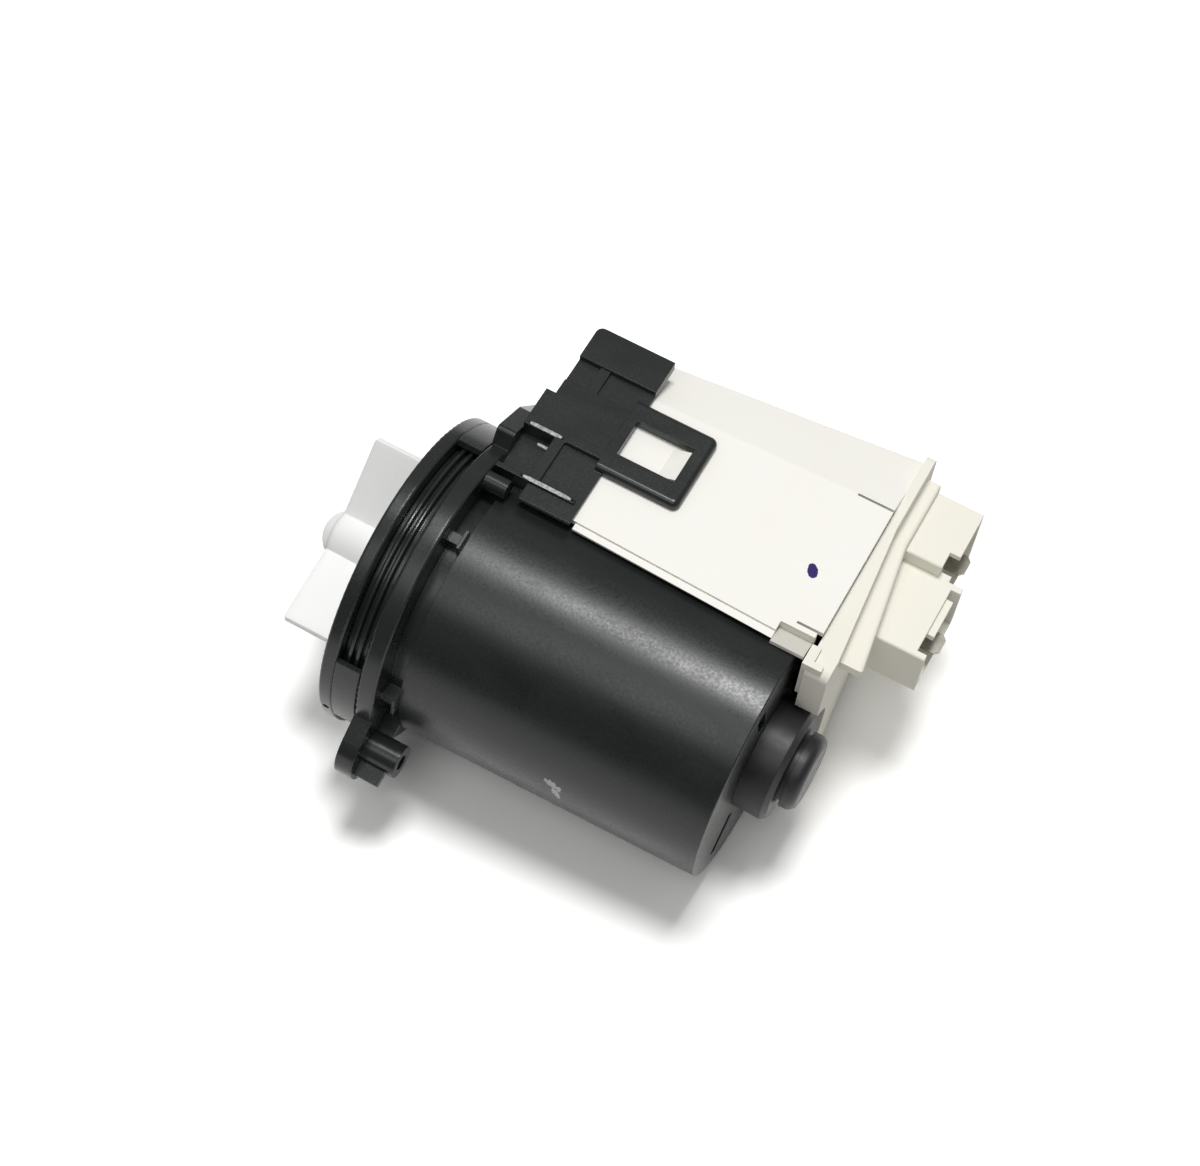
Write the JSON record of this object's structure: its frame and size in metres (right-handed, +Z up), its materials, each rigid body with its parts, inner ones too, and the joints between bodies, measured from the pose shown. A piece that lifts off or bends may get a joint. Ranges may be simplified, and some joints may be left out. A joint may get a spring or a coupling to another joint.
{
  "type": "drain pump",
  "caption": "Washer drain pump: round flange with seal ring and screw ears, bladed impeller, cylindrical motor cover, boxed coils at the side and flat spade terminals.",
  "frame": {"origin": "on the rotor's axis, in the front face of the flange plate, which is the middle of the screw circle", "axes": "+X along the rotor's axis from the impeller to the rubber foot, +Y from the axis to the coils, +Z up from the table as the pump lies in the picture"},
  "size_m": [0.1634, 0.1395, 0.09],
  "materials": {
    "black_plastic": "satin, glass-filled",
    "white_plastic": "satin",
    "impeller_plastic": "satin, slightly translucent",
    "black_rubber": "matte",
    "shaft_steel": "ground",
    "ferrite": "matte",
    "natural_plastic": "satin",
    "sintered_bronze": "matte",
    "core_sheets": "stamped",
    "copper_wire": "enamelled",
    "tinned_tab": "tin plated",
    "protector_case": "satin"
  },
  "bodies": {
    "housing": {"pump_body": "black_plastic", "chamber_cover": "black_plastic", "motor_cover": "black_plastic", "terminal_cover": "white_plastic", "coil_housing": "white_plastic", "flange_seal": "black_rubber", "rear_foot": "black_rubber", "shaft_seal": "black_rubber", "front_bearing_holder": "black_rubber", "rear_bearing_holder": "black_rubber", "front_bearing": "sintered_bronze", "rear_bearing": "sintered_bronze", "stator_core": "core_sheets", "coil_bobbin_upper": "natural_plastic", "coil_bobbin_lower": "natural_plastic", "coil_winding_upper": "copper_wire", "coil_winding_lower": "copper_wire", "terminal_low": "tinned_tab", "terminal_high": "tinned_tab", "thermal_protector": "protector_case"},
    "rotor": {"rotor_shaft": "shaft_steel", "rotor_core": "natural_plastic", "rotor_magnet": "ferrite", "coupling_dog": "natural_plastic"},
    "impeller_wheel": {"impeller": "impeller_plastic", "impeller_cap": "impeller_plastic", "coupling_damper": "black_rubber"}
  },
  "joints": [
    {"name": "rotor_spin", "type": "hinge", "parent": "housing", "child": "rotor", "pos_m": [0, 0, 0], "axis": [1, 0, 0], "continuous": true},
    {"name": "impeller_slip", "type": "hinge", "parent": "rotor", "child": "impeller_wheel", "pos_m": [-0.02, 0, 0], "axis": [1, 0, 0], "range_deg": [-128, 128]}
  ]
}
